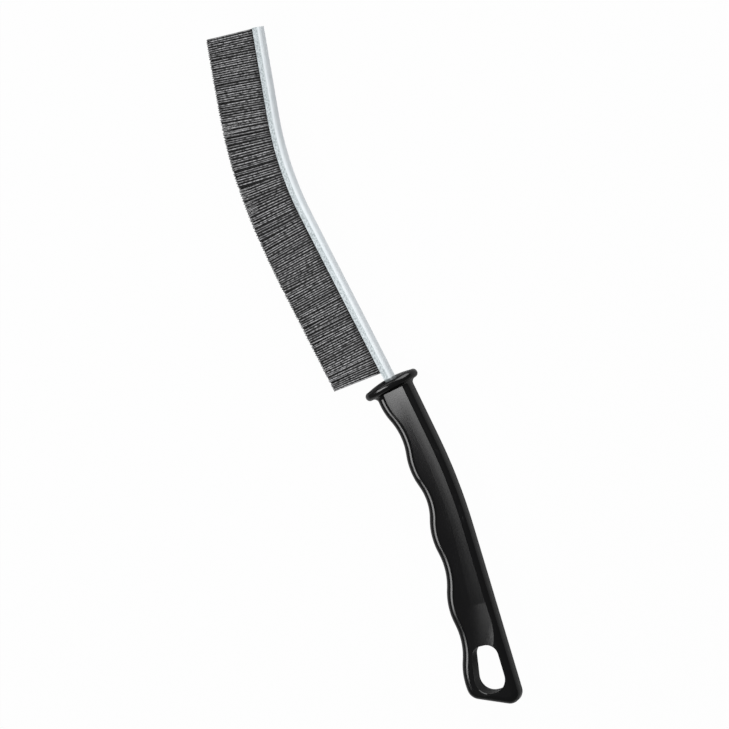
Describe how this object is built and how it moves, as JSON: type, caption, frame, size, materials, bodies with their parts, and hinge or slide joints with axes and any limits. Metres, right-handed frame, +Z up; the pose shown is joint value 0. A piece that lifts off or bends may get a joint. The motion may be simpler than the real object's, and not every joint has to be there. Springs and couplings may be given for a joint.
{
  "type": "grout brush",
  "caption": "Narrow scrubbing brush for grout lines and crevices: a bent metal strip of stiff dark bristles in a glossy scalloped plastic handle with a guard and a hang hole.",
  "frame": {"origin": "on the resting plane, under the middle of the whole brush lying on its side", "axes": "+Y along the brush from the handle's end to the tip of the strip; -X the way that the bristles point; +Z up, square to the brush's flat middle plane"},
  "size_m": [0.0488, 0.2824, 0.0158],
  "materials": {
    "handle_plastic": "gloss",
    "channel_steel": "galvanised satin",
    "wire_steel": "drawn",
    "bristle_nylon": "satin filament"
  },
  "bodies": {
    "root": {"handle": "handle_plastic", "channel": "channel_steel", "core_wire": "wire_steel", "bristle_bundle_01": "bristle_nylon", "bristle_bundle_02": "bristle_nylon", "bristle_bundle_03": "bristle_nylon", "bristle_bundle_04": "bristle_nylon", "bristle_bundle_05": "bristle_nylon", "bristle_bundle_06": "bristle_nylon", "bristle_bundle_07": "bristle_nylon", "bristle_bundle_08": "bristle_nylon", "bristle_bundle_09": "bristle_nylon", "bristle_bundle_10": "bristle_nylon", "bristle_bundle_11": "bristle_nylon", "bristle_bundle_12": "bristle_nylon", "bristle_bundle_13": "bristle_nylon", "bristle_bundle_14": "bristle_nylon", "bristle_bundle_15": "bristle_nylon", "bristle_bundle_16": "bristle_nylon", "bristle_bundle_17": "bristle_nylon", "bristle_bundle_18": "bristle_nylon", "bristle_bundle_19": "bristle_nylon", "bristle_bundle_20": "bristle_nylon", "bristle_bundle_21": "bristle_nylon", "bristle_bundle_22": "bristle_nylon", "bristle_bundle_23": "bristle_nylon", "bristle_bundle_24": "bristle_nylon", "bristle_bundle_25": "bristle_nylon", "bristle_bundle_26": "bristle_nylon", "bristle_bundle_27": "bristle_nylon", "bristle_bundle_28": "bristle_nylon", "bristle_bundle_29": "bristle_nylon", "bristle_bundle_30": "bristle_nylon", "bristle_bundle_31": "bristle_nylon", "bristle_bundle_32": "bristle_nylon", "bristle_bundle_33": "bristle_nylon", "bristle_bundle_34": "bristle_nylon", "bristle_bundle_35": "bristle_nylon", "bristle_bundle_36": "bristle_nylon", "bristle_bundle_37": "bristle_nylon", "bristle_bundle_38": "bristle_nylon", "bristle_bundle_39": "bristle_nylon", "bristle_bundle_40": "bristle_nylon", "bristle_bundle_41": "bristle_nylon", "bristle_bundle_42": "bristle_nylon", "bristle_bundle_43": "bristle_nylon", "bristle_bundle_44": "bristle_nylon", "bristle_bundle_45": "bristle_nylon", "bristle_bundle_46": "bristle_nylon", "bristle_bundle_47": "bristle_nylon", "bristle_bundle_48": "bristle_nylon", "bristle_bundle_49": "bristle_nylon", "bristle_bundle_50": "bristle_nylon", "bristle_bundle_51": "bristle_nylon", "bristle_bundle_52": "bristle_nylon"}
  },
  "joints": []
}
